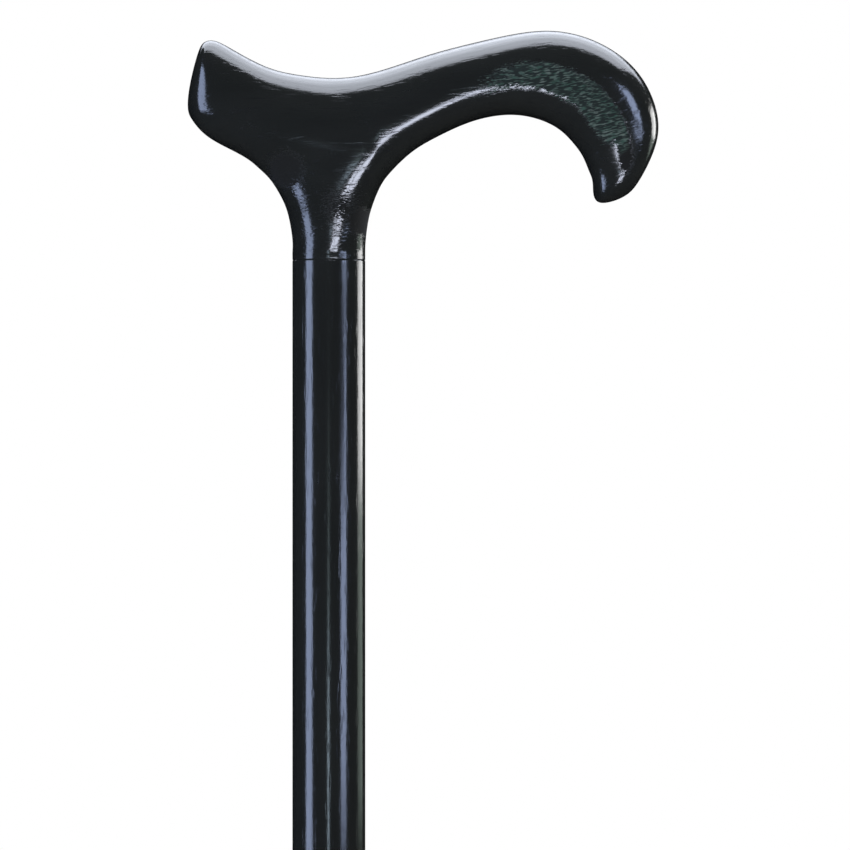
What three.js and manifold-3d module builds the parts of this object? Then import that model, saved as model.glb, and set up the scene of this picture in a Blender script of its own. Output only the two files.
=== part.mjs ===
// A wooden walking stick with a derby handle, lacquered black.
// The handle is carved from its own block, with the grain along the palm. A steel stud, glued into both,
// joins it to a turned shaft. A rubber ferrule with a steel washer in its cup is pushed on the shaft's tip.
// Millimetres, +Z up. The origin is on the shaft's axis, at the floor. The hook points along +X.

import * as THREE from 'three';
import { mergeVertices } from 'three/addons/utils/BufferGeometryUtils.js';
import Module from 'manifold-3d';

const wasm = await Module();
wasm.setup();

// Driving dimensions
const stickHeight = 920; // floor to the top of the palm
const shaftDiameter = 20; // the parallel upper shaft, and the handle's neck
const tipDiameter = 17; // the shaft's end, in the ferrule
const hornReach = 38.8; // shaft's axis to the end of the short horn
const hookReach = 90.4; // shaft's axis to the outside of the hook
const handleRise = 63; // joint to the top of the palm
const palmWidth = 31; // the handle where it is widest, across the palm
const ferruleDiameter = 36; // the ferrule's foot
const ferruleHeight = 46;

const shaftRadius = shaftDiameter / 2;
const tipRadius = tipDiameter / 2;
const jointHeight = stickHeight - handleRise;
const easedEdge = 0.3; // the edges that meet at the joint, which leave a fine line round it
const overrun = 1; // how far a cut runs past the face that it opens

// Mesh helpers

// Turns a profile of [radius, height] pairs round the shaft's axis.
const turnedSides = 40;

function turned(profile) {
  const points = profile.map(([radius, height]) => new THREE.Vector2(radius, height));
  return new THREE.LatheGeometry(points, turnedSides).rotateX(Math.PI / 2);
}

function toSolid(geometry) {
  const bare = new THREE.BufferGeometry();
  bare.setAttribute('position', geometry.getAttribute('position'));
  bare.setIndex(geometry.index);
  const merged = mergeVertices(bare);
  const corners = [];
  for (let i = 0; i < merged.index.count; i += 3) {
    const [a, b, c] = merged.index.array.subarray(i, i + 3);
    if (a !== b && b !== c && c !== a) corners.push(a, b, c);
  }
  const vertProperties = merged.attributes.position.array;
  return new wasm.Manifold(new wasm.Mesh({ numProp: 3, vertProperties, triVerts: new Uint32Array(corners) }));
}

function toGeometry(solid) {
  const { vertProperties, triVerts } = solid.getMesh();
  const geometry = new THREE.BufferGeometry();
  geometry.setAttribute('position', new THREE.BufferAttribute(vertProperties, 3));
  geometry.setIndex(new THREE.BufferAttribute(triVerts, 1));
  geometry.computeVertexNormals();
  return geometry;
}

function part(name, geometry, finish) {
  const mesh = new THREE.Mesh(geometry, new THREE.MeshStandardMaterial(finish));
  mesh.name = name;
  return mesh;
}

// Handle. A cage of rings runs along the palm from the horn to the hook, and another down the neck. The
// three limbs meet at one point on each side of the handle. Catmull-Clark subdivision rounds the cage,
// which is first pushed out until the smooth surface passes through its own stations.
// The origin is the joint's centre.

// A palm station is [upper x, upper z, lower x, lower z, half width, middle, lean, upper fullness]. An x is
// a share of hornReach on the horn's side and of hookReach on the hook's, a z is a share of handleRise, and
// the half width is a share of half of palmWidth. The middle, where the section is fullest, is a share of the
// way down it, and the lean is how far it is drawn to the junction's. A fullness of 2 is an ellipse, and more
// is boxier. The stations run from the horn's end to the hook's.
const hornShares = [
  [-0.905, 0.933, -0.968, 0.612, 0.6, 0.56, 0, 2.1],
  [-0.82, 0.959, -0.87, 0.545, 0.77, 0.56, 0, 2.1],
  [-0.668, 0.914, -0.691, 0.482, 0.85, 0.56, 0, 2.1],
  [-0.441, 0.843, -0.567, 0.438, 0.9, 0.56, 0.1, 2.1],
  [-0.227, 0.809, -0.497, 0.403, 0.945, 0.56, 0.3, 2.1],
];
const hookShares = [
  [0.1, 0.806, 0.217, 0.429, 0.985, 0.57, 0.3, 2.1],
  [0.206, 0.849, 0.268, 0.489, 0.99, 0.58, 0.1, 2.1],
  [0.315, 0.9, 0.34, 0.547, 0.99, 0.575, 0, 2.1],
  [0.437, 0.946, 0.437, 0.607, 0.995, 0.56, 0, 2.1],
  [0.57, 0.987, 0.544, 0.635, 1, 0.56, 0, 2.15],
  [0.691, 0.998, 0.634, 0.617, 0.97, 0.55, 0, 2.2],
  [0.807, 0.956, 0.699, 0.572, 0.905, 0.53, 0, 2.3],
  [0.906, 0.867, 0.741, 0.514, 0.83, 0.5, 0, 2.4],
  [0.97, 0.748, 0.771, 0.454, 0.75, 0.48, 0, 2.4],
  [1, 0.611, 0.79, 0.39, 0.66, 0.46, 0, 2.4],
  [0.988, 0.481, 0.802, 0.333, 0.56, 0.46, 0, 2.3],
  [0.945, 0.354, 0.816, 0.257, 0.43, 0.48, 0, 2.2],
];
const junctionShares = { top: [0, 0.795], throat: [-0.441, 0.37], arch: [0.183, 0.376], middle: [0.1, 0.505] };
const junctionWidthShare = 0.972;
const topFullness = 2.1; // over the junction
const lowerFullness = 2.5; // under the whole palm

// A neck station is [z, throat side, arch side, half width, lean, fullness, drift]. The z is a share of
// handleRise, and the other sizes are shares of the shaft's radius. The drift is how far the middle is off
// the shaft's axis. The last three run past the joint, where the neck is cut.
const neckShares = [
  [0.327, 1.49, 1.43, 1.46, 0.4, 2.4, 0.32],
  [0.254, 1.24, 1.23, 1.335, 0.12, 2.4, 0.18],
  [0.176, 1.085, 1.09, 1.18, 0, 2.25, 0.1],
  [0.089, 1, 1.015, 1.09, 0, 2.1, 0.05],
  [0.035, 1, 1, 1.018, 0, 2, 0],
  [-0.03, 1, 1, 1, 0, 2, 0],
  [-0.12, 1, 1, 1, 0, 2, 0],
  [-0.2, 1, 1, 1, 0, 2, 0],
];
const hornDomeShares = [-0.057, -0.04];
const hookDomeShares = [0.012, -0.032];
const arcSteps = 4; // from one side of a section to the other, over its upper or its lower outline
const roundings = 2;
const fittings = 3;

function outlinePoint([xShare, zShare]) {
  const reach = xShare < 0 ? hornReach : hookReach;
  return new THREE.Vector3(xShare * reach, 0, zShare * handleRise);
}

const junctionMiddle = outlinePoint(junctionShares.middle);

// The inner points of half a section, from the front over the rim to the back.
function arc(rim, middle, halfWidth, fullness) {
  const points = [];
  for (let step = 1; step < arcSteps; step += 1) {
    const angle = (Math.PI * step) / arcSteps;
    const out = Math.sin(angle) ** (2 / fullness);
    const side = Math.sign(Math.cos(angle)) * Math.abs(Math.cos(angle)) ** (2 / fullness);
    const point = middle.clone().lerp(rim, out);
    point.y = -side * halfWidth;
    points.push(point);
  }
  return points;
}

// A cage is a list of points and a list of faces, which are rings of point numbers seen from outside.
class Cage {
  points = [];
  faces = [];

  add(point) {
    return this.points.push(point) - 1;
  }

  addArc(rim, middle, halfWidth, fullness) {
    return arc(rim, middle, halfWidth, fullness).map((point) => this.add(point));
  }

  // The points at the two sides of a section.
  addSides(middle, halfWidth) {
    return [-halfWidth, halfWidth].map((y) => this.add(new THREE.Vector3(middle.x, y, middle.z)));
  }

  // Two half sections and the two sides between them make a ring, which starts halfway along the first.
  ring(first, [front, back], second) {
    const half = arcSteps / 2;
    return [...first.slice(0, half).reverse(), front, ...second, back, ...first.slice(half).reverse()];
  }

  addRing([first, second], middle, halfWidth, [firstFullness, secondFullness]) {
    const sides = this.addSides(middle, halfWidth);
    const firstArc = this.addArc(first, middle, halfWidth, firstFullness);
    return this.ring(firstArc, sides, this.addArc(second, middle, halfWidth, secondFullness));
  }

  bridge(rings) {
    for (let i = 1; i < rings.length; i += 1) {
      rings[i].forEach((corner, k) => {
        const next = (k + 1) % rings[i].length;
        this.faces.push([rings[i - 1][k], rings[i - 1][next], rings[i][next], corner]);
      });
    }
  }

  // Closes a ring with a point in its middle, domed by push, and a face for every two of its sides.
  cap(ring, push) {
    const centre = this.add(average(ring.map((i) => this.points[i])).add(push));
    for (let k = 0; k < ring.length; k += 2) {
      this.faces.push([ring[k], ring[k + 1], ring[(k + 2) % ring.length], centre]);
    }
  }
}

function average(points) {
  const sum = new THREE.Vector3();
  points.forEach((point) => sum.add(point));
  return sum.divideScalar(points.length);
}

// One round of Catmull-Clark subdivision. The cage's own points stay first in the list.
function rounded({ points, faces }) {
  const edges = new Map();
  const around = points.map(() => ({ centres: [], middles: [] }));
  const centres = faces.map((face) => average(face.map((i) => points[i])));
  faces.forEach((face, f) => {
    face.forEach((a, k) => {
      const b = face[(k + 1) % face.length];
      const key = `${Math.min(a, b)} ${Math.max(a, b)}`;
      if (!edges.has(key)) edges.set(key, { ends: [a, b], faces: [] });
      edges.get(key).faces.push(f);
      around[a].centres.push(centres[f]);
    });
  });
  const edgePoints = [];
  edges.forEach((edge) => {
    const [a, b] = edge.ends.map((i) => points[i]);
    edge.ends.forEach((i) => around[i].middles.push(average([a, b])));
    edge.number = points.length + edgePoints.length;
    edgePoints.push(average([a, b, ...edge.faces.map((f) => centres[f])]));
  });
  const moved = points.map((point, i) => {
    const { centres: faceCentres, middles } = around[i];
    const valence = faceCentres.length;
    const pull = average(faceCentres).addScaledVector(average(middles), 2);
    return pull.addScaledVector(point, valence - 3).divideScalar(valence);
  });
  const firstCentre = points.length + edgePoints.length;
  const numberOf = (a, b) => edges.get(`${Math.min(a, b)} ${Math.max(a, b)}`).number;
  const quads = faces.flatMap((face, f) =>
    face.map((corner, k) => {
      const before = face[(k + face.length - 1) % face.length];
      const after = face[(k + 1) % face.length];
      return [corner, numberOf(corner, after), firstCentre + f, numberOf(before, corner)];
    }),
  );
  return { points: [...moved, ...edgePoints, ...centres], faces: quads };
}

function roundedFully(cage) {
  let surface = cage;
  for (let round = 0; round < roundings; round += 1) surface = rounded(surface);
  return surface;
}

// The smooth surface whose first points lie on the cage's points.
function fitted(cage) {
  let points = cage.points;
  for (let round = 0; round < fittings; round += 1) {
    const surface = roundedFully({ points, faces: cage.faces });
    points = points.map((point, i) => point.clone().add(cage.points[i]).sub(surface.points[i]));
  }
  return roundedFully({ points, faces: cage.faces });
}

function quadGeometry({ points, faces }) {
  const geometry = new THREE.BufferGeometry().setFromPoints(points);
  geometry.setIndex(faces.flatMap(([a, b, c, d]) => [a, b, c, a, c, d]));
  return geometry;
}

function handleCage() {
  const cage = new Cage();
  const halfPalm = palmWidth / 2;
  const palmRing = ([upperX, upperZ, lowerX, lowerZ, width, middleShare, lean, upperFullness]) => {
    const upper = outlinePoint([upperX, upperZ]);
    const lower = outlinePoint([lowerX, lowerZ]);
    const middle = upper.clone().lerp(lower, middleShare).lerp(junctionMiddle, lean);
    return cage.addRing([upper, lower], middle, width * halfPalm, [upperFullness, lowerFullness]);
  };
  const neckRing = ([zShare, throatSide, archSide, width, lean, fullness, drift]) => {
    const z = zShare * handleRise;
    const throat = new THREE.Vector3(-throatSide * shaftRadius, 0, z);
    const arch = new THREE.Vector3(archSide * shaftRadius, 0, z);
    const middle = throat.clone().lerp(arch, 1 / 2).lerp(junctionMiddle, lean);
    middle.x += drift * shaftRadius;
    return cage.addRing([throat, arch], middle, width * shaftRadius, [fullness, fullness]);
  };

  const junctionWidth = junctionWidthShare * halfPalm;
  const junctionArc = (shares, fullness) =>
    cage.addArc(outlinePoint(shares), junctionMiddle, junctionWidth, fullness);
  const sides = cage.addSides(junctionMiddle, junctionWidth);
  const top = junctionArc(junctionShares.top, topFullness);
  const throat = junctionArc(junctionShares.throat, lowerFullness);
  const arch = junctionArc(junctionShares.arch, lowerFullness);

  const hornRings = [...hornShares.map(palmRing), cage.ring(top, sides, throat)];
  const hookRings = [cage.ring(top, sides, arch), ...hookShares.map(palmRing)];
  const neckRings = [cage.ring(throat, sides, arch), ...neckShares.map(neckRing)].reverse();
  cage.bridge(hornRings);
  cage.bridge(hookRings);
  cage.bridge(neckRings);
  cage.cap(hornRings[0].toReversed(), outlinePoint(hornDomeShares));
  cage.cap(hookRings.at(-1), outlinePoint(hookDomeShares));
  cage.cap(neckRings[0].toReversed(), new THREE.Vector3());
  return cage;
}

// Joint stud, a steel rod glued half in the handle and half in the shaft

const studDiameter = 8;
const studInHandle = 28;
const studInShaft = 42;
const studChamfer = 1;
const glueGap = 0.3; // round the stud and at its ends
const drillPointShare = 0.3; // the cone at a drilled hole's end, as a share of its radius

const studRadius = studDiameter / 2;
const boreRadius = studRadius + glueGap;
const drillPoint = drillPointShare * boreRadius;

function studGeometry() {
  return turned([
    [0, -studInShaft],
    [studRadius - studChamfer, -studInShaft],
    [studRadius, studChamfer - studInShaft],
    [studRadius, studInHandle - studChamfer],
    [studRadius - studChamfer, studInHandle],
    [0, studInHandle],
  ]);
}

// One turned cut makes the neck's joint face, its eased edge and the bore for the stud.
function neckCut() {
  const boreDepth = studInHandle + glueGap;
  const below = -handleRise / 4;
  return turned([
    [0, below],
    [shaftRadius + overrun, below],
    [shaftRadius + overrun, easedEdge + overrun],
    [shaftRadius - easedEdge, 0],
    [boreRadius, 0],
    [boreRadius, boreDepth],
    [0, boreDepth + drillPoint],
  ]);
}

function handleGeometry() {
  return toGeometry(toSolid(quadGeometry(fitted(handleCage()))).subtract(toSolid(neckCut())));
}

// Ferrule, in the floor's frame: a rubber cup with a flared foot, grip ribs and a ringed tread

const soleThickness = 12; // rubber under the washer
const treadDepth = 1.5;
const treadRingWidth = 2.2;
const treadGroove = 1.8;
const treadRings = 3;
const footHeight = 5;
const footRounding = 1;
const waistHeight = 20; // where the foot's flare ends
const cupWall = 3.4;
const ribHeight = 0.9;
const ribWidth = 2;
const ribPitch = 5;
const ribCount = 4;
const mouthLip = 4;
const mouthChamfer = 0.8;
const pushGap = 0.3; // between the shaft's end and the cup
const flareSteps = 6;

const footRadius = ferruleDiameter / 2;
const cupRadius = tipRadius + pushGap;
const waistRadius = cupRadius + cupWall;
const lipRadius = waistRadius + ribHeight;

// The outer rings of the tread start at the foot's edge. What is left inside them is a flat disc.
function treadProfile() {
  const pitch = treadRingWidth + treadGroove;
  const points = [[0, 0]];
  for (let ring = treadRings; ring > 0; ring -= 1) {
    const outer = footRadius - footRounding - (ring - 1) * pitch - treadRingWidth;
    points.push([outer - treadGroove, 0], [outer - treadGroove, treadDepth], [outer, treadDepth], [outer, 0]);
  }
  points.push([footRadius - footRounding, 0], [footRadius, footRounding]);
  return points;
}

// The foot sweeps up into the cup's wall along a quarter of an ellipse.
function flareProfile() {
  const shoulder = footRadius - footRounding;
  const points = [[footRadius, footHeight - footRounding]];
  for (let step = 0; step <= flareSteps; step += 1) {
    const angle = (Math.PI / 2) * (step / flareSteps);
    const radius = shoulder - (shoulder - waistRadius) * Math.sin(angle);
    points.push([radius, waistHeight - (waistHeight - footHeight) * Math.cos(angle)]);
  }
  return points;
}

function ribProfile() {
  const points = [];
  const firstRib = ferruleHeight - mouthLip - ribCount * ribPitch;
  for (let rib = 0; rib < ribCount; rib += 1) {
    const z = firstRib + rib * ribPitch;
    points.push([waistRadius, z], [lipRadius, z + ribWidth / 4]);
    points.push([lipRadius, z + (ribWidth * 3) / 4], [waistRadius, z + ribWidth]);
  }
  return points;
}

function ferruleGeometry() {
  return turned([
    ...treadProfile(),
    ...flareProfile(),
    ...ribProfile(),
    [waistRadius, ferruleHeight - mouthLip],
    [lipRadius, ferruleHeight - mouthLip + ribHeight],
    [lipRadius, ferruleHeight - mouthChamfer],
    [lipRadius - mouthChamfer, ferruleHeight],
    [cupRadius + mouthChamfer, ferruleHeight],
    [cupRadius, ferruleHeight - mouthChamfer],
    [cupRadius, soleThickness],
    [0, soleThickness],
  ]);
}

// Ferrule washer, a steel disc that keeps the shaft's end from punching through the sole

const washerThickness = 1.5;
const washerHoleDiameter = 5;

function washerGeometry() {
  const inner = washerHoleDiameter / 2;
  const top = soleThickness + washerThickness;
  return turned([
    [inner, soleThickness],
    [tipRadius, soleThickness],
    [tipRadius, top],
    [inner, top],
    [inner, soleThickness],
  ]);
}

// Shaft, in the joint's frame: parallel at the top, then one long taper down to the ferrule's mouth

const parallelLength = 380;
const tipChamfer = 1;

function shaftGeometry() {
  const floor = -jointHeight;
  const tip = floor + soleThickness + washerThickness + pushGap;
  const boreDepth = studInShaft + glueGap;
  return turned([
    [0, tip],
    [tipRadius - tipChamfer, tip],
    [tipRadius, tip + tipChamfer],
    [tipRadius, floor + ferruleHeight],
    [shaftRadius, -parallelLength],
    [shaftRadius, -easedEdge],
    [shaftRadius - easedEdge, 0],
    [boreRadius, 0],
    [boreRadius, -boreDepth],
    [0, -boreDepth - drillPoint],
  ]);
}

// Assembly

const lacqueredWood = { color: 0x1d1d1f, roughness: 0.16, metalness: 0 };
const blackRubber = { color: 0x1b1b1c, roughness: 0.75, metalness: 0 };
const zincedSteel = { color: 0xb4b6b8, roughness: 0.35, metalness: 1 };

const woodwork = new THREE.Group();
woodwork.position.z = jointHeight;
woodwork.add(
  part('handle', handleGeometry(), lacqueredWood),
  part('handle_stud', studGeometry(), zincedSteel),
  part('shaft', shaftGeometry(), lacqueredWood),
);

const stick = new THREE.Group();
stick.add(
  woodwork,
  part('ferrule', ferruleGeometry(), blackRubber),
  part('ferrule_washer', washerGeometry(), zincedSteel),
);

export default stick;
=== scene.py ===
import math

import bmesh
import bpy
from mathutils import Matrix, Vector


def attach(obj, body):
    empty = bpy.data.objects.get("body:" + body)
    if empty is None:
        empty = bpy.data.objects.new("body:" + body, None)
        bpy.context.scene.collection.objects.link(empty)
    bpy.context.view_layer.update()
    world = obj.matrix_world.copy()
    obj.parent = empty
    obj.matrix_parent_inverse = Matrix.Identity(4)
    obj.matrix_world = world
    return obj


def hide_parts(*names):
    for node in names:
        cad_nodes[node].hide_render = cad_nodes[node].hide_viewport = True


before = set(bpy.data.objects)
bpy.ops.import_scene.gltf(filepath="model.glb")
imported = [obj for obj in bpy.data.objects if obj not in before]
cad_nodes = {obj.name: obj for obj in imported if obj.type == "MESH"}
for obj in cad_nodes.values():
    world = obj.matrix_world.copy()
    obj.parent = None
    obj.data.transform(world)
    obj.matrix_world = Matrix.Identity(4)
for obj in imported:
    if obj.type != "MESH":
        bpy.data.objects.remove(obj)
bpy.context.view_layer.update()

# Shaft: a straight-grained hardwood rod, turned parallel at the top and then tapered to the tip.
# It is stained black, filled thinly so that the pores still show, and sprayed with gloss lacquer.
# A hole down its top end takes the stud, and the rim of that end is eased.
mm = 0.001
joint_height = 857 * mm
shaft_radius = 10 * mm
tip_radius = 8.5 * mm
parallel_length = 380 * mm
ferrule_height = 46 * mm
tip_height = 13.8 * mm
tip_chamfer = 1 * mm
eased_edge = 0.15 * mm
eased_height = 0.25 * mm
edge_support = 1.5 * mm
turning_edge = 0.1 * mm
bore_radius = 4.3 * mm
shaft_bore_depth = 42.3 * mm
drill_point = 1.29 * mm
shaft_sides = 128
hard_edge = math.radians(50)
edge_steps = 4
edge_share = 0.45
nearly_straight = math.radians(88)


def mesh_from(name, form):
    mesh = bpy.data.meshes.new(name)
    form.to_mesh(mesh)
    form.free()
    return mesh


def shaded(mesh):
    """Shades a mesh smooth apart from its hard edges."""
    mesh.shade_smooth()
    mesh.set_sharp_from_angle(angle=hard_edge)
    return mesh


def placed(name, data):
    """Puts a mesh, a lamp or a camera into the scene as an object."""
    made = bpy.data.objects.new(name, data)
    bpy.context.scene.collection.objects.link(made)
    return made


def turned(name, profile, sides):
    """A piece turned round the stick's axis from (radius, height) pairs that start and end on the axis."""
    form = bmesh.new()
    rings = []
    for radius, height in profile:
        turns = [2 * math.pi * k / sides for k in range(sides if radius else 1)]
        rings.append([form.verts.new((radius * math.cos(a), radius * math.sin(a), height)) for a in turns])
    for below, above in zip(rings, rings[1:]):
        for k in range(sides):
            corners = [below[k % len(below)], below[(k + 1) % len(below)]]
            corners += [above[(k + 1) % len(above)], above[k % len(above)]]
            form.faces.new(list(dict.fromkeys(corners)))
    return placed(name, shaded(mesh_from(name, form)))


def eased(profile, rounding):
    """The profile with every corner that is off the axis drawn out into a short curve. Corners that are
    nearly straight are left, and no curve takes more than edge_share of a side."""
    points = [Vector(profile[0])]
    for before, corner, after in zip(profile, profile[1:], profile[2:]):
        corner = Vector(corner)
        back, onward = Vector(before) - corner, Vector(after) - corner
        half_corner = back.angle(onward) / 2
        if corner.x == 0 or half_corner > nearly_straight:
            points.append(corner)
            continue
        reach = min(rounding / math.tan(half_corner), edge_share * back.length, edge_share * onward.length)
        start, end = corner + back.normalized() * reach, corner + onward.normalized() * reach
        for step in range(edge_steps + 1):
            t = step / edge_steps
            points.append(start * (1 - t) ** 2 + corner * (2 * t * (1 - t)) + end * t**2)
    return [tuple(point) for point in points + [Vector(profile[-1])]]


shaft_outside = [
    (0, tip_height),
    (tip_radius - tip_chamfer, tip_height),
    (tip_radius, tip_height + tip_chamfer),
    (tip_radius, ferrule_height),
    (shaft_radius, joint_height - parallel_length),
    (shaft_radius, joint_height - edge_support),
    (shaft_radius, joint_height - eased_height),
    (shaft_radius - eased_edge, joint_height),
    (bore_radius, joint_height),
]
shaft_bore = [
    (bore_radius, joint_height - shaft_bore_depth),
    (0, joint_height - shaft_bore_depth - drill_point),
]
shaft = turned("turned_shaft", eased(shaft_outside, turning_edge) + shaft_bore, shaft_sides)


def add_node(tree, kind, inputs=None, **settings):
    """Adds a node. An input is a value, or the output of another node."""
    made = tree.nodes.new(kind)
    for name, value in settings.items():
        setattr(made, name, value)
    for name, value in (inputs or {}).items():
        if isinstance(value, bpy.types.NodeSocket):
            tree.links.new(value, made.inputs[name])
        else:
            made.inputs[name].default_value = value
    return made


def maths(tree, operation, *values):
    made = add_node(tree, "ShaderNodeMath", dict(enumerate(values)), operation=operation)
    return made.outputs[0]


def spread(tree, value, low, high, to_low=0.0, to_high=1.0):
    """Stretches the part of a value between low and high over another range."""
    inputs = {"Value": value, "From Min": low, "From Max": high, "To Min": to_low, "To Max": to_high}
    return add_node(tree, "ShaderNodeMapRange", inputs).outputs["Result"]


def blended(tree, amount, first, second):
    """A colour between two others."""
    inputs = {"Factor": amount, 6: first, 7: second}
    return add_node(tree, "ShaderNodeMix", inputs, data_type="RGBA").outputs[2]


def noise(tree, place, scale, detail=2.0, roughness=0.5, distortion=0.0):
    inputs = {"Vector": place, "Scale": scale, "Detail": detail, "Roughness": roughness}
    inputs["Distortion"] = distortion
    return add_node(tree, "ShaderNodeTexNoise", inputs).outputs["Fac"]


def effect(name, takes, gives):
    """An empty node group with its inputs and outputs."""
    group = bpy.data.node_groups.new(name, "ShaderNodeTree")
    for direction, sockets in (("INPUT", takes), ("OUTPUT", gives)):
        for socket, kind in sockets.items():
            group.interface.new_socket(socket, in_out=direction, socket_type="NodeSocket" + kind)
    return group, group.nodes.new("NodeGroupInput").outputs, group.nodes.new("NodeGroupOutput").inputs


def put_in(tree, group, inputs):
    return add_node(tree, "ShaderNodeGroup", inputs, node_tree=group).outputs


# The grain runs along Z of the place that the group is given. Pores are short dashes, fibre is the
# fine relief between them, and the figure is the slow change of tone from one growth ring to the next.
# Scales are per pore, in its length and its width. The noise hardly ever gets up to poreless_level, so a
# pore share of 0 leaves next to no pores.
pore_scale, fibre_scale, figure_scale = 0.5, 0.8, 0.06
poreless_level = 0.72
pore_slope = 0.1
fibre_height = 1.5
wood_grain, given, put_out = effect(
    "wood_grain",
    {"Place": "Vector", "Pore Length": "Float", "Pore Width": "Float", "Pore Share": "Float"},
    {"Pores": "Float", "Fibre": "Float", "Figure": "Float", "Relief": "Float"},
)
pore_size = add_node(wood_grain, "ShaderNodeCombineXYZ", {
    "X": given["Pore Width"], "Y": given["Pore Width"], "Z": given["Pore Length"],
}).outputs[0]
in_pores = add_node(wood_grain, "ShaderNodeVectorMath", {
    0: given["Place"], 1: pore_size,
}, operation="DIVIDE").outputs[0]
dashes = noise(wood_grain, in_pores, pore_scale, detail=1.0)
pore_edge = maths(wood_grain, "SUBTRACT", poreless_level, given["Pore Share"])
pore_floor = maths(wood_grain, "ADD", pore_edge, pore_slope)
pores = spread(wood_grain, dashes, pore_edge, pore_floor)
fibre = noise(wood_grain, in_pores, fibre_scale, detail=2.0, roughness=0.6)
figure = noise(wood_grain, in_pores, figure_scale, detail=3.0, distortion=0.4)
relief = maths(wood_grain, "SUBTRACT", maths(wood_grain, "MULTIPLY", fibre, fibre_height), pores)
for name, value in {"Pores": pores, "Fibre": fibre, "Figure": figure, "Relief": relief}.items():
    wood_grain.links.new(value, put_out[name])

# What hands and cloths leave on gloss: broad smears, and hairline scratches that run every way in patches.
# Scales are per metre. A noise counts for nothing below its first level, and fully from its second.
smear_scale, smear_levels = 45.0, (0.45, 0.7)
scratch_scale, scratch_width = 130.0, 0.012
patch_scale, patch_levels = 90.0, (0.5, 0.62)
handling, given, put_out = effect("handling", {"Place": "Vector"}, {"Smears": "Float", "Scratches": "Float"})
cloudy = noise(handling, given["Place"], smear_scale, detail=3.0, distortion=1.2)
smears = spread(handling, cloudy, *smear_levels)
lines = add_node(handling, "ShaderNodeTexVoronoi", {
    "Vector": given["Place"], "Scale": scratch_scale, "Randomness": 1.0,
}, feature="DISTANCE_TO_EDGE").outputs["Distance"]
patches = spread(handling, noise(handling, given["Place"], patch_scale), *patch_levels)
scratches = maths(handling, "MULTIPLY", spread(handling, lines, 0.0, scratch_width, 1.0, 0.0), patches)
handling.links.new(smears, put_out["Smears"])
handling.links.new(scratches, put_out["Scratches"])


def new_finish(name):
    """A new material, its node tree, and the place on the piece that its nodes start from."""
    material = bpy.data.materials.new(name)
    material.use_nodes = True
    tree = material.node_tree
    return material, tree, add_node(tree, "ShaderNodeTexCoord").outputs["Object"]


def raised(tree, height, depth, under=None):
    """The normal of a surface with a relief of some depth, on top of another one."""
    inputs = {"Height": height, "Distance": depth}
    if under is not None:
        inputs["Normal"] = under
    return add_node(tree, "ShaderNodeBump", inputs).outputs[0]


def dressed(tree, colour, roughness, normal):
    """Gives the material's shader what changes over the surface."""
    surface = tree.nodes["Principled BSDF"]
    for socket, value in {"Base Color": colour, "Roughness": roughness, "Normal": normal}.items():
        tree.links.new(value, surface.inputs[socket])
    return surface


def grain_at(tree, place, pore_length, pore_width, pore_share):
    """The grain, with pores of a length and a width that take about a share of the wood."""
    return put_in(tree, wood_grain, {
        "Place": place, "Pore Length": pore_length, "Pore Width": pore_width, "Pore Share": pore_share,
    })


# The stain is darker in the pores. Where the lacquer has sunk, the colour is painted darker, a painted shade
# that offsets the sheen of the duller gloss. The pores that open there hold painted green glints, a painted
# reflection of light caught on their edges, over a painted dark green sheen. They lie in layers across the
# palm, so they are drawn out in Y. The fibre breaks up the edge of the sunk lacquer, and the fringe is how
# softly the gloss is lost there.
stain_dark = (0.0112, 0.0118, 0.0102, 1)
stain_light = (0.0134, 0.0140, 0.0121, 1)
pore_black = (0.0100, 0.0105, 0.0092, 1)
sunk_painted_shade = (0.0030, 0.0026, 0.0004, 1)
sunk_painted_sheen = (0.0052, 0.0098, 0.0060, 1)
painted_glint_green = (0.024, 0.052, 0.034, 1)
painted_glint_grey = (0.080, 0.100, 0.078, 1)
figure_levels = (0.35, 0.65)
glint_scale, glint_levels = 520.0, (0.38, 0.68)
sunk_pores = (0.95 * mm, 0.165 * mm, 0.22)
sunk_layers = (1, 0.05, 1)
sunk_fringe = 0.06
sunk_relief = 2.2
lacquer_ior = 1.5
lacquer_roughness = 0.13
fibre_dulling, pore_dulling, smear_dulling, scratch_dulling, sunk_dulling = 0.05, 0.12, 0.03, 0.1, 0.86
spray_scale, spray_depth = 260.0, 0.006 * mm


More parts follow.
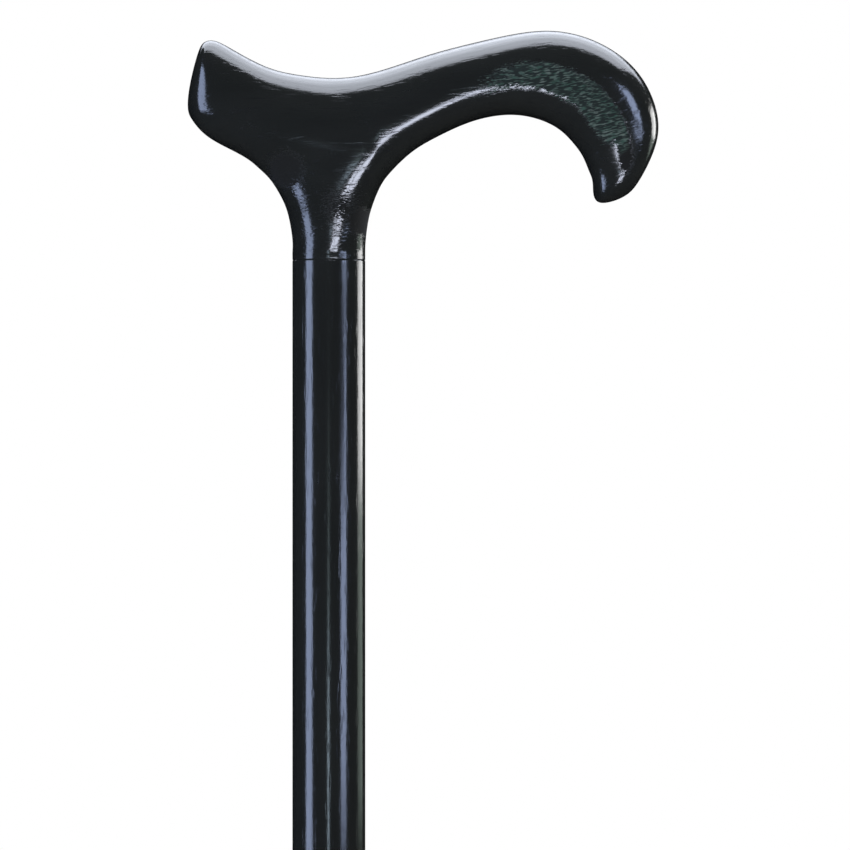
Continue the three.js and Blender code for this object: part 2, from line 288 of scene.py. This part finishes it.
def lacquered_wood(name, grain_place, sunk_lacquer, pores, pore_depth):
    """Black gloss lacquer over wood. grain_place turns a place on the piece to one with the grain along Z.
    sunk_lacquer says how far the lacquer has sunk there, and how far the painted green glints show,
    both from 0 to 1."""
    material, tree, place = new_finish(name)
    along_grain = grain_place(tree, place)
    grain = grain_at(tree, along_grain, *pores)
    in_layers = add_node(tree, "ShaderNodeVectorMath", {0: along_grain, 1: sunk_layers}, operation="MULTIPLY")
    open_grain = grain_at(tree, in_layers.outputs[0], *sunk_pores)
    sunk, glints_show = sunk_lacquer(tree, place)
    gloss_lost = spread(tree, maths(tree, "SUBTRACT", sunk, open_grain["Fibre"]), 0.0, sunk_fringe)
    painted_glints = maths(tree, "MULTIPLY", maths(tree, "MULTIPLY", gloss_lost, glints_show), open_grain["Pores"])
    marks = put_in(tree, handling, {"Place": place})

    stain = blended(tree, spread(tree, grain["Figure"], *figure_levels), stain_dark, stain_light)
    stain = blended(tree, grain["Pores"], stain, pore_black)
    # Painted shade where the lacquer has sunk, and a painted dark green sheen where the glints show.
    stain = blended(tree, gloss_lost, stain, blended(tree, glints_show, sunk_painted_shade, sunk_painted_sheen))
    # Painted green glints in the open pores, a painted reflection that is paler or greyer from place to
    # place.
    glint_tone = spread(tree, noise(tree, place, glint_scale), *glint_levels)
    stain = blended(tree, painted_glints, stain, blended(tree, glint_tone, painted_glint_green, painted_glint_grey))

    smoothest = lacquer_roughness - fibre_dulling / 2
    roughness = maths(tree, "MULTIPLY_ADD", grain["Fibre"], fibre_dulling, smoothest)
    for cause, dulling in (
        (grain["Pores"], pore_dulling), (marks["Smears"], smear_dulling),
        (marks["Scratches"], scratch_dulling), (gloss_lost, sunk_dulling),
    ):
        roughness = maths(tree, "MULTIPLY_ADD", cause, dulling, roughness)

    sprayed = raised(tree, noise(tree, place, spray_scale, detail=1.0), spray_depth)
    relief = maths(tree, "MULTIPLY", grain["Relief"], maths(tree, "MULTIPLY_ADD", sunk, sunk_relief, 1.0))
    surface = dressed(tree, stain, roughness, raised(tree, relief, pore_depth, sprayed))
    surface.inputs["IOR"].default_value = lacquer_ior
    return material


def grain_up(tree, place):
    return place


def nowhere_sunk(tree, place):
    return 0.0, 0.0


shaft_pores = (3.4 * mm, 0.42 * mm, 0.1)
shaft_pore_depth = 0.012 * mm
shaft_finish = lacquered_wood("shaft_lacquer", grain_up, nowhere_sunk, shaft_pores, shaft_pore_depth)
shaft.data.materials.append(shaft_finish)
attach(shaft, "root")
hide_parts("shaft")

# Stud: a zinc-plated steel rod with chamfered ends, glued half in the shaft and half in the handle.
# The washer in the ferrule is punched from the same plated steel, so it takes this finish too.
zinc_dark = (0.42, 0.43, 0.45, 1)
zinc_light = (0.60, 0.61, 0.62, 1)
cloud_scale, cloud_levels = 420.0, (0.35, 0.65)
brushing_scale, brushing_depth = 2600.0, 0.01 * mm
zinc_roughness, cloud_dulling = 0.25, 0.25


def zinced_steel():
    """Plated steel, cloudy as zinc is, over the fine marks of the brush."""
    material, tree, place = new_finish("zinced_steel")
    cloud = noise(tree, place, cloud_scale, detail=3.0)
    brushing = noise(tree, place, brushing_scale, detail=2.0, roughness=0.7)
    colour = blended(tree, spread(tree, cloud, *cloud_levels), zinc_dark, zinc_light)
    roughness = maths(tree, "MULTIPLY_ADD", cloud, cloud_dulling, zinc_roughness)
    surface = dressed(tree, colour, roughness, raised(tree, brushing, brushing_depth))
    surface.inputs["Metallic"].default_value = 1.0
    return material


plated = zinced_steel()
cad_nodes["handle_stud"].data.materials.clear()
cad_nodes["handle_stud"].data.materials.append(plated)

# Handle: a derby, carved from one block with the grain along the palm, then sanded until no edge is left.
# A cage of rings runs along the palm, another down the neck, and the three limbs meet at one point on each
# side. The cage is pushed out until the smooth surface passes through its own stations.
horn_reach = 38.8 * mm
hook_reach = 90.4 * mm
handle_rise = 63 * mm
palm_width = 31 * mm
handle_bore_depth = 28.3 * mm
top_fullness = 2.1
lower_fullness = 2.5
arc_steps = 4
handle_smoothness = 4
fittings = 8

# A palm station is upper x, upper z, lower x, lower z, half width, middle, lean and upper fullness. An x is
# a share of the reach on its side, a z is a share of the rise, and the half width is a share of half the
# palm's width. The middle, where the section is fullest, is a share of the way down it, and the lean is how
# far it is drawn to the junction's. They run from the horn's end to the hook's.
horn_stations = [
    (-0.905, 0.933, -0.968, 0.612, 0.60, 0.56, 0, 2.1),
    (-0.820, 0.959, -0.870, 0.545, 0.77, 0.56, 0, 2.1),
    (-0.668, 0.914, -0.691, 0.482, 0.85, 0.56, 0, 2.1),
    (-0.441, 0.843, -0.567, 0.438, 0.90, 0.56, 0.1, 2.1),
    (-0.227, 0.809, -0.497, 0.403, 0.945, 0.56, 0.3, 2.1),
]
hook_stations = [
    (0.100, 0.806, 0.217, 0.429, 0.985, 0.57, 0.3, 2.1),
    (0.206, 0.849, 0.268, 0.489, 0.99, 0.58, 0.1, 2.1),
    (0.315, 0.900, 0.340, 0.547, 0.99, 0.575, 0, 2.1),
    (0.437, 0.946, 0.437, 0.607, 0.995, 0.56, 0, 2.1),
    (0.570, 0.987, 0.544, 0.635, 1.00, 0.56, 0, 2.15),
    (0.691, 0.998, 0.634, 0.617, 0.97, 0.55, 0, 2.2),
    (0.807, 0.956, 0.699, 0.572, 0.905, 0.53, 0, 2.3),
    (0.906, 0.867, 0.741, 0.514, 0.83, 0.50, 0, 2.4),
    (0.970, 0.748, 0.771, 0.454, 0.75, 0.48, 0, 2.4),
    (1.000, 0.611, 0.790, 0.390, 0.66, 0.46, 0, 2.4),
    (0.988, 0.481, 0.802, 0.333, 0.56, 0.46, 0, 2.3),
    (0.945, 0.354, 0.816, 0.257, 0.43, 0.48, 0, 2.2),
]
junction_top, junction_throat = (0, 0.795), (-0.441, 0.37)
junction_arch, junction_middle = (0.183, 0.376), (0.10, 0.505)
junction_width = 0.972
horn_dome, hook_dome = (-0.057, -0.04), (0.012, -0.032)

# A neck station is z as a share of the rise, then the throat's side, the arch's side and the half width as
# shares of the shaft's radius, the lean, the fullness, and how far the middle is off the shaft's axis as a
# share of its radius.
neck_stations = [
    (0.327, 1.49, 1.43, 1.46, 0.4, 2.4, 0.32),
    (0.254, 1.24, 1.23, 1.335, 0.12, 2.4, 0.18),
    (0.176, 1.085, 1.09, 1.18, 0, 2.25, 0.10),
    (0.089, 1, 1.015, 1.09, 0, 2.1, 0.05),
]
# Below them the neck comes in to the shaft's round: rings of half depth, half width and height above the
# joint, down to the eased edge. Then come the joint's face and the bore, whose corners are hard.
neck_rings = [
    (shaft_radius, shaft_radius + 0.26 * mm, 2.6 * mm),
    (shaft_radius, shaft_radius + 0.1 * mm, 1.2 * mm),
    (shaft_radius, shaft_radius + 0.03 * mm, 0.5 * mm),
]
hard_rings = [
    (shaft_radius, shaft_radius, eased_height),
    (shaft_radius - eased_edge, shaft_radius - eased_edge, 0),
    (bore_radius, bore_radius, 0),
    (bore_radius, bore_radius, handle_bore_depth),
]


def on_outline(shares):
    reach = horn_reach if shares[0] < 0 else hook_reach
    return Vector((shares[0] * reach, 0, shares[1] * handle_rise))


class Cage:
    """The handle's control mesh. Each ring starts halfway along its first outline and has eight points."""

    def __init__(self):
        self.points = []
        self.faces = []

    def add(self, point):
        self.points.append(Vector(point))
        return len(self.points) - 1

    def arc(self, rim, middle, half_width, fullness):
        """Half a section's inner points, from the front over the rim to the back."""
        made = []
        for step in range(1, arc_steps):
            angle = math.pi * step / arc_steps
            out = math.sin(angle) ** (2 / fullness)
            side = math.copysign(abs(math.cos(angle)) ** (2 / fullness), math.cos(angle))
            point = middle.lerp(rim, out)
            point.y = -side * half_width
            made.append(self.add(point))
        return made

    def sides(self, middle, half_width):
        return [self.add((middle.x, y, middle.z)) for y in (-half_width, half_width)]

    def ring(self, first, sides, second):
        half = arc_steps // 2
        return first[:half][::-1] + [sides[0]] + second + [sides[1]] + first[half:][::-1]

    def section(self, rims, middle, half_width, fullness):
        sides = self.sides(middle, half_width)
        first, second = [self.arc(rim, middle, half_width, full) for rim, full in zip(rims, fullness)]
        return self.ring(first, sides, second)

    def oval_ring(self, half_depth, half_width, height):
        """A true oval, which starts on the throat's side and goes round by the front."""
        turns = [math.pi + k * math.pi / arc_steps for k in range(2 * arc_steps)]
        return [self.add((half_depth * math.cos(a), half_width * math.sin(a), height)) for a in turns]

    def bridge(self, rings):
        for before, after in zip(rings, rings[1:]):
            for k, corner in enumerate(after):
                n = (k + 1) % len(after)
                self.faces.append((before[k], before[n], after[n], corner))

    def cap(self, ring, push):
        """Closes a ring with a point in its middle, and a face for every two of its sides."""
        centre = self.add(sum((self.points[i] for i in ring), Vector()) / len(ring) + push)
        for k in range(0, len(ring), 2):
            self.faces.append((ring[k], ring[k + 1], ring[(k + 2) % len(ring)], centre))


cage = Cage()
half_palm = palm_width / 2


def palm_ring(station):
    upper_x, upper_z, lower_x, lower_z, width, middle_share, lean, upper_fullness = station
    upper, lower = on_outline((upper_x, upper_z)), on_outline((lower_x, lower_z))
    middle = upper.lerp(lower, middle_share).lerp(on_outline(junction_middle), lean)
    return cage.section((upper, lower), middle, width * half_palm, (upper_fullness, lower_fullness))


def neck_ring(station):
    z, throat_side, arch_side, width, lean, fullness, drift = station
    throat = Vector((-throat_side * shaft_radius, 0, z * handle_rise))
    arch = Vector((arch_side * shaft_radius, 0, z * handle_rise))
    middle = throat.lerp(arch, 0.5).lerp(on_outline(junction_middle), lean)
    middle.x += drift * shaft_radius
    return cage.section((throat, arch), middle, width * shaft_radius, (fullness, fullness))


middle = on_outline(junction_middle)
shared_sides = cage.sides(middle, junction_width * half_palm)
top_arc, throat_arc, arch_arc = [
    cage.arc(on_outline(rim), middle, junction_width * half_palm, full)
    for rim, full in (
        (junction_top, top_fullness), (junction_throat, lower_fullness), (junction_arch, lower_fullness),
    )
]
horn_limb = [palm_ring(station) for station in horn_stations]
horn_limb.append(cage.ring(top_arc, shared_sides, throat_arc))
hook_limb = [cage.ring(top_arc, shared_sides, arch_arc)]
hook_limb += [palm_ring(station) for station in hook_stations]
neck_limb = [cage.ring(throat_arc, shared_sides, arch_arc)]
neck_limb += [neck_ring(station) for station in neck_stations]
neck_limb += [cage.oval_ring(*sizes) for sizes in neck_rings]
hard_corners = [cage.oval_ring(*sizes) for sizes in hard_rings]
neck_limb = (neck_limb + hard_corners)[::-1]
for limb in (horn_limb, hook_limb, neck_limb):
    cage.bridge(limb)
cage.cap(horn_limb[0][::-1], on_outline(horn_dome))
cage.cap(hook_limb[-1], on_outline(hook_dome))
cage.cap(neck_limb[0][::-1], Vector((0, 0, drill_point)))

lift = Vector((0, 0, joint_height))
stations = [point + lift for point in cage.points]
cage_mesh = bpy.data.meshes.new("handle_cage")
cage_mesh.from_pydata(stations, [], cage.faces)
handle = placed("carved_handle", cage_mesh)
crease = cage_mesh.attributes.new("crease_edge", "FLOAT", "EDGE")
hard_pairs = {frozenset((ring[k - 1], ring[k])) for ring in hard_corners for k in range(len(ring))}
for edge in cage_mesh.edges:
    crease.data[edge.index].value = 1.0 if frozenset(edge.vertices) in hard_pairs else 0.0
smoothing = handle.modifiers.new("smooth_sanding", "SUBSURF")
smoothing.levels = smoothing.render_levels = handle_smoothness
smoothing.use_limit_surface = True


def sanded(piece):
    """The piece as its modifier leaves it."""
    bpy.context.view_layer.update()
    return piece.evaluated_get(bpy.context.evaluated_depsgraph_get())


for fitting in range(fittings):
    surface = sanded(handle).data
    reached = [surface.vertices[i].co.copy() for i in range(len(stations))]
    for vertex, wanted, got in zip(cage_mesh.vertices, stations, reached):
        vertex.co += wanted - got
    cage_mesh.update()

handle_mesh = bpy.data.meshes.new_from_object(sanded(handle))
handle_mesh.name = "carved_handle"
handle.modifiers.clear()
handle.data = handle_mesh
bpy.data.meshes.remove(cage_mesh)
shaded(handle_mesh)

# The grain rises towards the hook by this much, per metre squared.
grain_sweep = 1.3


def grain_along_palm(tree, place):
    """Turns the grain along X, and bends it up a little on its way to the hook."""
    parts = add_node(tree, "ShaderNodeSeparateXYZ", {"Vector": place}).outputs
    signed_square = maths(tree, "MULTIPLY", parts["X"], maths(tree, "ABSOLUTE", parts["X"]))
    across = maths(tree, "SUBTRACT", parts["Z"], maths(tree, "MULTIPLY", signed_square, grain_sweep))
    return add_node(tree, "ShaderNodeCombineXYZ", {"X": across, "Y": parts["Y"], "Z": parts["X"]}).outputs[0]


# The lacquer has sunk in two ragged bands round the middle of the hook's bend, a broad one up the hook and a
# narrow one on the outer side of its end, and in round spots on the throat, the neck and its flank. There the
# gloss is duller and the colour holds painted shade, and the broad band also holds painted green glints. A
# band is its radius, how far off that it is full and how far off it ends, where along X it starts and where
# it is full, and its lowest height.
bend_middle = (54.1 * mm, 0, joint_height + 25.4 * mm)
hook_band = (24.6 * mm, 1.8 * mm, 6.2 * mm, 28 * mm, 60 * mm, joint_height + 26.8 * mm)
hook_end_band = (27.3 * mm, 0.5 * mm, 3.6 * mm, 52 * mm, 72 * mm, joint_height + 19 * mm)
band_foot_fade = 8.8 * mm
rag_width, rag_scale = 2 * mm, 500.0
# A spot is its middle, how far out it is at its most, how far out it ends, and how far it has sunk at most.
sunk_spots = [
    ((-11.4 * mm, 0, joint_height + 24.4 * mm), 1 * mm, 9 * mm, 1.0),
    ((3.5 * mm, 0, joint_height + 14.2 * mm), 0, 14 * mm, 0.7),
    ((9.2 * mm, 0, joint_height + 10.2 * mm), 1 * mm, 7 * mm, 1.0),
]
glint_band_levels = (0.2, 0.4)


def off_centre(tree, place, middle):
    """How far a place is from a point, seen from the side."""
    off = add_node(tree, "ShaderNodeVectorMath", {0: place, 1: middle}, operation="SUBTRACT").outputs[0]
    off = add_node(tree, "ShaderNodeVectorMath", {0: off, 1: (1, 0, 1)}, operation="MULTIPLY").outputs[0]
    return add_node(tree, "ShaderNodeVectorMath", {0: off}, operation="LENGTH").outputs["Value"]


def band_round_bend(tree, place, radius, full_to, ends_at, start_x, full_x, foot):
    away = maths(tree, "ABSOLUTE", maths(tree, "SUBTRACT", off_centre(tree, place, bend_middle), radius))
    ragged = maths(tree, "MULTIPLY_ADD", noise(tree, place, rag_scale), rag_width, -rag_width / 2)
    band = spread(tree, maths(tree, "ADD", away, ragged), full_to, ends_at, 1.0, 0.0)
    parts = add_node(tree, "ShaderNodeSeparateXYZ", {"Vector": place}).outputs
    band = maths(tree, "MULTIPLY", band, spread(tree, parts["X"], start_x, full_x))
    return maths(tree, "MULTIPLY", band, spread(tree, parts["Z"], foot, foot + band_foot_fade))


def sunk_in_bends(tree, place):
    """Where the grain runs out of the handle's curves. The painted green glints show in the hook's broad
    band alone.
    """
    up_the_hook = band_round_bend(tree, place, *hook_band)
    sunk = maths(tree, "MAXIMUM", up_the_hook, band_round_bend(tree, place, *hook_end_band))
    for middle, full_to, ends_at, most in sunk_spots:
        spot = spread(tree, off_centre(tree, place, middle), full_to, ends_at, most, 0.0)
        sunk = maths(tree, "MAXIMUM", sunk, spot)
    return sunk, spread(tree, up_the_hook, *glint_band_levels)


handle_pores = (3.4 * mm, 0.46 * mm, 0.12)
handle_pore_depth = 0.016 * mm
handle_finish = lacquered_wood(
    "handle_lacquer", grain_along_palm, sunk_in_bends, handle_pores, handle_pore_depth,
)
handle_mesh.materials.append(handle_finish)
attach(handle, "root")
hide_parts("handle")

# Washer: a punched steel disc at the bottom of the ferrule's cup, which keeps the tip from cutting the sole.
# It is the plain solid with the stud's zinc finish.
cad_nodes["ferrule_washer"].data.materials.clear()
cad_nodes["ferrule_washer"].data.materials.append(plated)

# Ferrule: black rubber, moulded in one piece and pushed on the tip. It has a flared foot, grip ribs, a lip
# round its mouth and a ringed tread. Its edges are as soft as the mould leaves them.
sole_thickness = 12 * mm
tread_depth = 1.5 * mm
tread_ring_width = 2.2 * mm
tread_groove = 1.8 * mm
tread_rings = 3
foot_radius = 18 * mm
foot_height = 5 * mm
foot_rounding = 1 * mm
waist_height = 20 * mm
cup_radius = 8.8 * mm
waist_radius = 12.2 * mm
rib_height = 0.9 * mm
rib_width = 2 * mm
rib_slope = 0.5 * mm
rib_pitch = 5 * mm
rib_count = 4
mouth_lip = 4 * mm
mouth_chamfer = 0.8 * mm
flare_steps = 16
ferrule_sides = 128
moulded_edge = 0.25 * mm

shoulder = foot_radius - foot_rounding
lip_radius = waist_radius + rib_height
tread = [(0, 0)]
for ring in range(tread_rings, 0, -1):
    outer = shoulder - (ring - 1) * (tread_ring_width + tread_groove) - tread_ring_width
    inner = outer - tread_groove
    tread += [(inner, 0), (inner, tread_depth), (outer, tread_depth), (outer, 0)]
foot = [
    (shoulder, 0),
    (foot_radius, foot_rounding),
    (foot_radius, foot_height - foot_rounding),
    (shoulder, foot_height),
]
flare = []
for step in range(1, flare_steps + 1):
    angle = math.pi / 2 * step / flare_steps
    radius = shoulder - (shoulder - waist_radius) * math.sin(angle)
    flare.append((radius, waist_height - (waist_height - foot_height) * math.cos(angle)))
ribs = []
for rib in range(rib_count):
    z = ferrule_height - mouth_lip - (rib_count - rib) * rib_pitch
    ribs += [(waist_radius, z), (lip_radius, z + rib_slope)]
    ribs += [(lip_radius, z + rib_width - rib_slope), (waist_radius, z + rib_width)]
mouth = [
    (waist_radius, ferrule_height - mouth_lip),
    (lip_radius, ferrule_height - mouth_lip + rib_height),
    (lip_radius, ferrule_height - mouth_chamfer),
    (lip_radius - mouth_chamfer, ferrule_height),
    (cup_radius + mouth_chamfer, ferrule_height),
    (cup_radius, ferrule_height - mouth_chamfer),
    (cup_radius, sole_thickness),
    (0, sole_thickness),
]
ferrule = turned("moulded_ferrule", eased(tread + foot + flare + ribs + mouth, moulded_edge), ferrule_sides)

rubber_black = (0.0105, 0.0105, 0.0110, 1)
rubber_grey = (0.022, 0.022, 0.0225, 1)
floor_dust = (0.10, 0.095, 0.088, 1)
bloom_scale, bloom_levels = 160.0, (0.4, 0.7)
mould_scale, mould_depth = 2400.0, 0.03 * mm
dust_height, dust_levels, dust_share = 9 * mm, (0.45, 0.75), 0.5
rubber_roughness, bloom_dulling = 0.62, 0.14


def moulded_rubber():
    """Matt rubber: fine mould grain, a grey bloom, and a little dust low on the foot."""
    material, tree, place = new_finish("moulded_rubber")
    bloom = spread(tree, noise(tree, place, bloom_scale, detail=4.0), *bloom_levels)
    mould_grain = noise(tree, place, mould_scale, detail=2.0, roughness=0.7)
    height = add_node(tree, "ShaderNodeSeparateXYZ", {"Vector": place}).outputs["Z"]
    low = spread(tree, height, 0.0, dust_height, 1.0, 0.0)
    dust = maths(tree, "MULTIPLY", maths(tree, "MULTIPLY", low, low), spread(tree, mould_grain, *dust_levels))
    dust = maths(tree, "MULTIPLY", dust, dust_share)
    colour = blended(tree, dust, blended(tree, bloom, rubber_black, rubber_grey), floor_dust)
    roughness = maths(tree, "MULTIPLY_ADD", bloom, bloom_dulling, rubber_roughness)
    dressed(tree, colour, roughness, raised(tree, mould_grain, mould_depth))
    return material


ferrule.data.materials.append(moulded_rubber())
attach(ferrule, "root")
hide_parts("ferrule")

# Studio: a pale floor that fades into a white background, and a black cloth round the whole set. Only
# reflections see the cloth. It keeps the lacquer's edges dark, as they are in the photograph, where gloss
# would otherwise mirror the white background. Plain rectangular lamps draw the highlights on the gloss.
white = (1, 1, 1, 1)
world_fill = 0.2
floor_pale = (0.56, 0.525, 0.46, 1)
floor_radius = 7.0
floor_sides = 96
floor_gap = 0.3 * mm
fade_start, fade_end = 0.25, 1.5
sole_clearance = 6 * mm


def seen_directly(tree):
    """1 for what the camera, a mirror or glass sees of the background, and 0 for what lights the object."""
    rays = add_node(tree, "ShaderNodeLightPath").outputs
    seen = maths(tree, "MAXIMUM", rays["Is Camera Ray"], rays["Is Glossy Ray"])
    return maths(tree, "MAXIMUM", seen, rays["Is Transmission Ray"])


def floor_paper():
    """Pale paper that turns white further out. It is clear from below, and to rays that meet it within the
    sole's clearance of where they start, so that the ferrule's tread can be seen and is lit."""
    material, tree, place = new_finish("floor_paper")
    far_out = add_node(tree, "ShaderNodeVectorMath", {0: place}, operation="LENGTH").outputs["Value"]
    fade = maths(tree, "MULTIPLY", spread(tree, far_out, fade_start, fade_end), seen_directly(tree))
    paper = add_node(tree, "ShaderNodeBsdfDiffuse", {"Color": floor_pale}).outputs[0]
    glow = add_node(tree, "ShaderNodeEmission", {"Color": white, "Strength": 1.0}).outputs[0]
    top_side = add_node(tree, "ShaderNodeMixShader", {0: fade, 1: paper, 2: glow}).outputs[0]
    clear = add_node(tree, "ShaderNodeBsdfTransparent").outputs[0]
    from_below = add_node(tree, "ShaderNodeNewGeometry").outputs["Backfacing"]
    ray_length = add_node(tree, "ShaderNodeLightPath").outputs["Ray Length"]
    under_foot = maths(tree, "LESS_THAN", ray_length, sole_clearance)
    let_through = maths(tree, "MAXIMUM", from_below, under_foot)
    both_sides = add_node(tree, "ShaderNodeMixShader", {0: let_through, 1: top_side, 2: clear}).outputs[0]
    tree.nodes.remove(tree.nodes["Principled BSDF"])
    tree.links.new(both_sides, tree.nodes["Material Output"].inputs["Surface"])
    return material


world = bpy.data.worlds.new("studio")
bpy.context.scene.world = world
world.use_nodes = True
sky = world.node_tree
sky.nodes.clear()
level = spread(sky, seen_directly(sky), 0.0, 1.0, world_fill, 1.0)
background = add_node(sky, "ShaderNodeBackground", {"Color": white, "Strength": level})
add_node(sky, "ShaderNodeOutputWorld", {"Surface": background.outputs[0]})

floor_form = bmesh.new()
bmesh.ops.create_circle(floor_form, cap_ends=True, radius=floor_radius, segments=floor_sides)
floor = placed("floor", mesh_from("floor", floor_form))
floor.location.z = -floor_gap
floor.data.materials.append(floor_paper())

# The cloth is a closed drum, matt black inside, that stands just clear of the floor.
cloth_black = (0.002, 0.002, 0.002, 1)
cloth_radius = 4.0
cloth_height = 5.0
cloth_lift = 2 * mm
cloth_sides = 64

cloth_form = bmesh.new()
bmesh.ops.create_cone(
    cloth_form, cap_ends=True, segments=cloth_sides,
    radius1=cloth_radius, radius2=cloth_radius, depth=cloth_height,
)
bmesh.ops.translate(cloth_form, verts=cloth_form.verts, vec=(0, 0, cloth_height / 2 + cloth_lift))
cloth = placed("black_cloth", mesh_from("black_cloth", cloth_form))
cloth.visible_camera = False
cloth.visible_diffuse = False
cloth.visible_transmission = False
cloth.visible_shadow = False
cloth_finish = bpy.data.materials.new("black_cloth")
cloth_finish.use_nodes = True
cloth_surface = cloth_finish.node_tree.nodes["Principled BSDF"].inputs
cloth_surface["Base Color"].default_value = cloth_black
cloth_surface["Roughness"].default_value = 1.0
cloth.data.materials.append(cloth_finish)


def lamp(name, where, target, width, size, radiance, tint):
    """A rectangular lamp that faces its target. Its radiance is the same whatever its size."""
    light = bpy.data.lights.new(name, "AREA")
    light.shape = "RECTANGLE"
    light.size, light.size_y = width, size
    light.energy = radiance * math.pi * width * size
    light.color = tint
    holder = placed(name, light)
    holder.location = where
    holder.rotation_mode = "QUATERNION"
    holder.rotation_quaternion = (target - where).to_track_quat("-Z", "Y")
    holder.visible_camera = False
    return holder


def softbox(name, azimuth, low, high, width, radiance, tint):
    """An upright lamp. Azimuth is in degrees from the camera towards the hook, low and high are heights."""
    turn = math.radians(azimuth)
    ahead = Vector((math.sin(turn), -math.cos(turn), 0)) * softbox_distance
    on_axis = Vector((0, 0, (low + high) / 2))
    return lamp(name, on_axis + ahead, on_axis, width, high - low, radiance, tint)


def panel(name, azimuth, distance, from_elevation, to_elevation, left, right, radiance, tint):
    """A lamp across the set that faces the handle, between two elevations in degrees as seen from there.
    Below 0 it is lower than the handle, and past 90 it is behind it. Left and right are its ends."""
    turn = math.radians(azimuth)
    ahead = Vector((math.sin(turn), -math.cos(turn), 0))
    across = Vector((math.cos(turn), math.sin(turn), 0))
    near, far = [
        (ahead * math.cos(tilt) + Vector((0, 0, math.sin(tilt)))) * distance
        for tilt in (math.radians(from_elevation), math.radians(to_elevation))
    ]
    target = handle_middle + across * (left + right) / 2
    return lamp(name, target + (near + far) / 2, target, right - left, (far - near).length, radiance, tint)


def light_only(lamps, pieces):
    """Keeps some lamps off everything but some pieces."""
    lit = bpy.data.collections.new("lit_by_" + lamps[0].name)
    for piece in pieces:
        lit.objects.link(piece)
    for holder in lamps:
        holder.light_linking.receiver_collection = lit


# Softboxes stand round the stick and draw the upright stripes. The overhead panels light the top of the palm.
# Two boards, lower than the handle, draw the line along its arch and would glare on the shaft, so they leave
# it out. The shaft's own fill gives it the dark tone that it would have from them.
plain_white = (1, 1, 1)
cool_white = (0.84, 0.89, 1.0)
pale_blue = (0.79, 0.84, 1.0)
sky_blue = (0.55, 0.67, 1.0)
sea_blue = (0.65, 0.83, 1.0)
sea_green = (0.74, 0.98, 0.97)
leaf_green = (0.80, 1.0, 0.88)
softbox_distance = 1.0
handle_middle = Vector((0, 0, 0.86))
softbox("left_strip", -64.4, 0.45, 1.45, 0.40, 8.0, sky_blue)
softbox("right_front_strip", 48.5, 0.63, 0.782, 0.33, 8.5, sky_blue)
softbox("right_front_thin", 54.0, 0.782, 0.85, 0.11, 8.0, sky_blue)
softbox("right_front_gap", 50.0, 0.825, 0.89, 0.30, 0.5, sky_blue)
softbox("right_front_high", 51.0, 0.89, 1.24, 0.24, 10.0, sky_blue)
softbox("front_low", -0.5, 0.60, 0.705, 0.09, 7.7, sea_blue)
softbox("front_middle", 0.5, 0.705, 0.80, 0.08, 1.3, sea_green)
softbox("right_rear_box", 119.5, 0.785, 1.14, 0.50, 7.0, plain_white)
softbox("right_rear_low", 119.5, 0.63, 0.785, 0.50, 1.1, leaf_green)
panel("overhead_front", 0, 1.0, 84, 103, -0.62, 1.0, 6.8, cool_white)
panel("overhead_middle", 0, 1.0, 103, 126, -0.62, 1.0, 5.6, cool_white)
panel("overhead_back", 0, 1.0, 126, 149, -0.62, 0.9, 4.2, cool_white)
panel("overhead_rim", 0, 1.0, 149, 157, -0.62, 0.38, 1.8, cool_white)
crest_board = panel("crest_board", 9.0, 1.0, -34, -15, -0.028, 0.032, 30.0, pale_blue)
corner_board = panel("corner_board", 21.5, 1.0, -30, -15, -0.125, 0.125, 20.0, pale_blue)
shaft_fill = panel("shaft_fill", 10.0, 2.5, 38, 52, -0.40, 0.40, 30.0, pale_blue)
light_only((crest_board, corner_board), (handle, ferrule, floor))
light_only((shaft_fill,), (shaft,))

# Camera: level, square to the palm, a metre and a half away, framing the handle and the top of the shaft.
# The sensor's width is in millimetres, the unit that Blender has for it.
view_width = 0.2334
view_centre = Vector((0.0264, 0, 0.8118))
view_distance = 1.5
sensor_width = 36
camera_data = bpy.data.cameras.new("camera")
camera_data.sensor_width = sensor_width
camera_data.lens = sensor_width * view_distance / view_width
camera = placed("camera", camera_data)
camera.location = view_centre - Vector((0, view_distance, 0))
camera.rotation_euler = (math.pi / 2, 0, 0)
bpy.context.scene.camera = camera
bpy.context.scene.view_settings.view_transform = "Standard"
